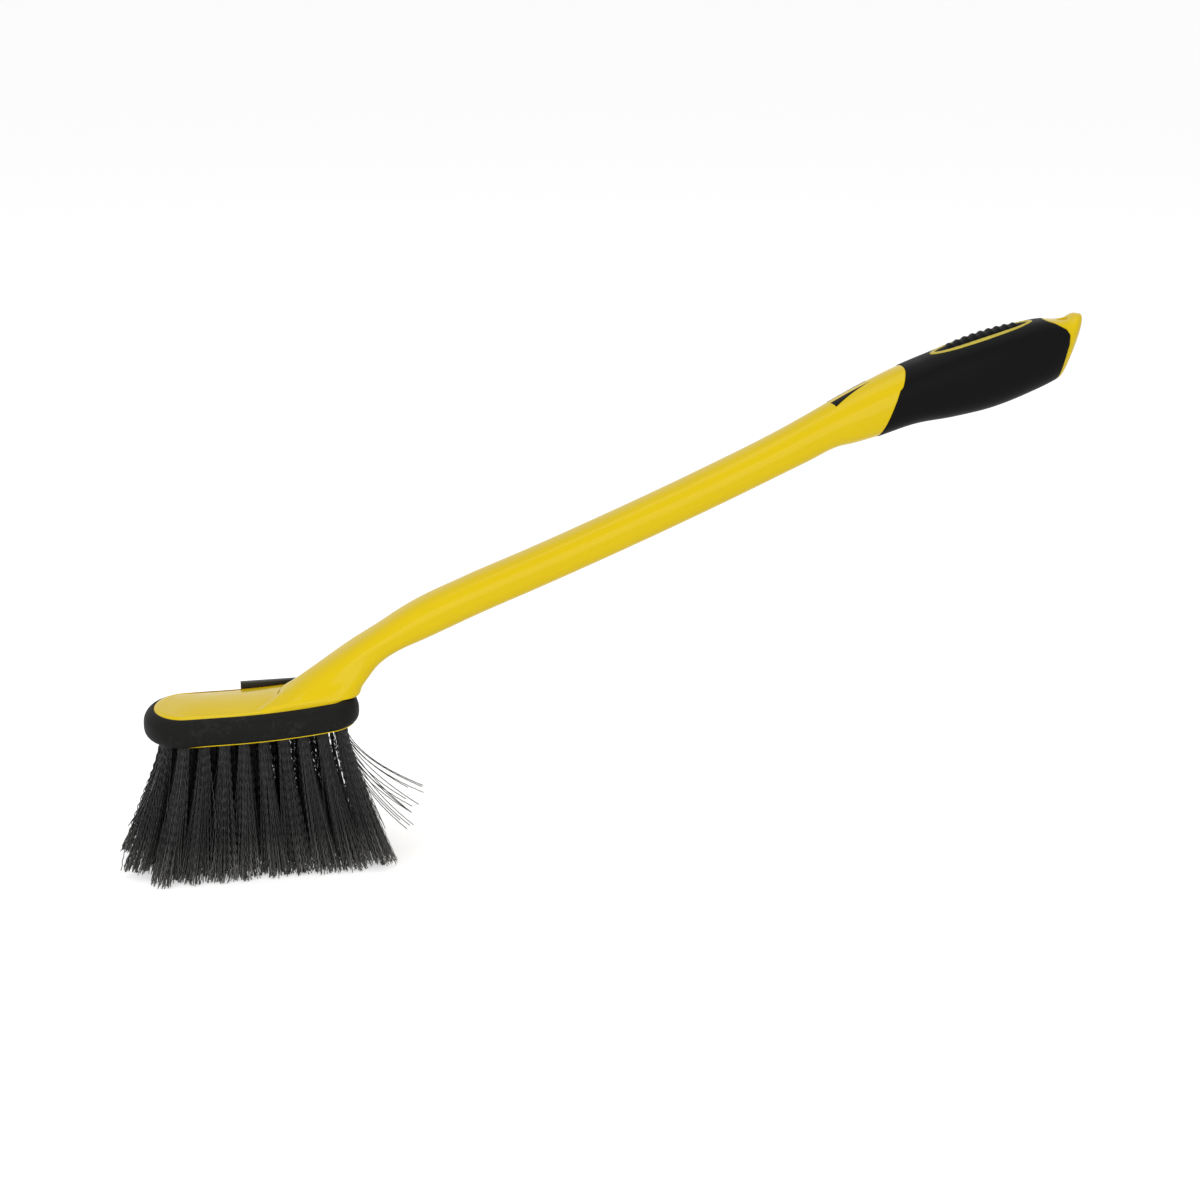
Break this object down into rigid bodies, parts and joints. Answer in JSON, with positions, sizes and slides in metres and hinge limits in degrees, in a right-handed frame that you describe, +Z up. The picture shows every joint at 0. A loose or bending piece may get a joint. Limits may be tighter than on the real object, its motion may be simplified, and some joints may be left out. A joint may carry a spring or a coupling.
{
  "type": "wheel brush",
  "caption": "Long-handled wheel brush: tufted head with a soft bumper and a side scraper, bent hollow handle, soft grip with a ribbed thumb pad and a hanging hole.",
  "frame": {"origin": "centre of the bristle trim, the plane that the tips of the tufts make", "axes": "+X from the head towards the grip, +Y towards the scraper's side of the head, +Z up out of the back of the head, so -Z is the way the bristles point"},
  "size_m": [0.4859, 0.061, 0.2575],
  "materials": {
    "yellow_moulding": "gloss injection-moulded polypropylene",
    "bumper_rubber": "matte moulded thermoplastic rubber",
    "grip_rubber": "satin moulded thermoplastic rubber",
    "scraper_plastic": "matte plastic",
    "bristle": "crimped flagged filament",
    "anchor_wire": "drawn flat wire"
  },
  "bodies": {
    "root": {"handle_body": "yellow_moulding", "brush_block": "yellow_moulding", "end_cap": "yellow_moulding", "pad_bezel": "yellow_moulding", "bumper": "bumper_rubber", "scraper_blade": "scraper_plastic", "grip_sleeve": "grip_rubber", "thumb_pad": "grip_rubber", "accent_inlay_near": "grip_rubber", "accent_inlay_far": "grip_rubber", "tuft_column_01": "bristle", "tuft_column_02": "bristle", "tuft_column_03": "bristle", "tuft_column_04": "bristle", "tuft_column_05": "bristle", "tuft_column_06": "bristle", "tuft_column_07": "bristle", "tuft_column_08": "bristle", "tuft_column_09": "bristle", "tuft_column_10": "bristle", "tuft_centre_row": "bristle", "tuft_anchors": "anchor_wire"}
  },
  "joints": []
}
